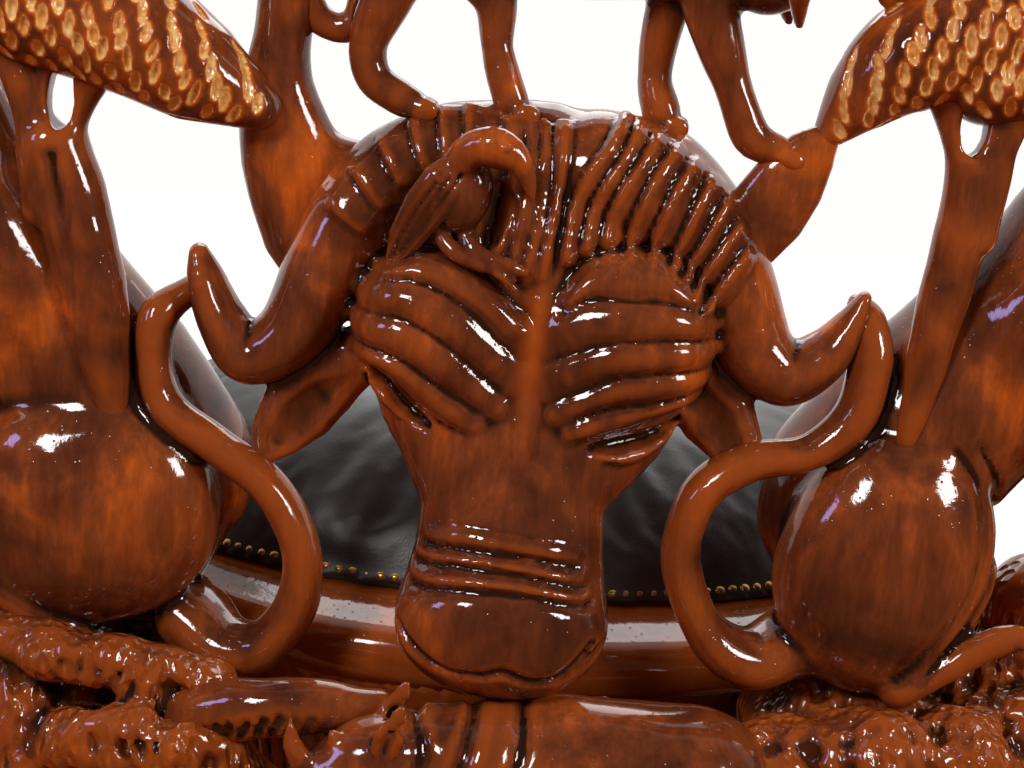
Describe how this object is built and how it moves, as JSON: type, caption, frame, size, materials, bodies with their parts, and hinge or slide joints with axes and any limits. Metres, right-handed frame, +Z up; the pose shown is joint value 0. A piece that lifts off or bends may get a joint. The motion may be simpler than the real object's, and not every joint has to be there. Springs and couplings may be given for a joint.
{
  "type": "carved wooden throne",
  "caption": "Ceremonial armless throne carved from one log, with an openwork back of animals and trees and a nailed black leather seat pad.",
  "frame": {"origin": "centre of the base's flat underside", "axes": "+Z up, +Y towards the front of the seat, +X to the right seen from behind"},
  "size_m": [0.88, 0.7197, 1.2509],
  "materials": {
    "varnished_wood": "dark brown hardwood under glossy varnish",
    "raw_gouged_wood": "pale orange wood left bare in the gouge cuts of the foliage",
    "black_leather": "smooth black leather with a soft sheen",
    "brass_nails": "domed brass upholstery nails, slightly tarnished"
  },
  "bodies": {
    "root": {"carved_throne": "varnished_wood", "seat_pad": "black_leather"}
  },
  "joints": []
}
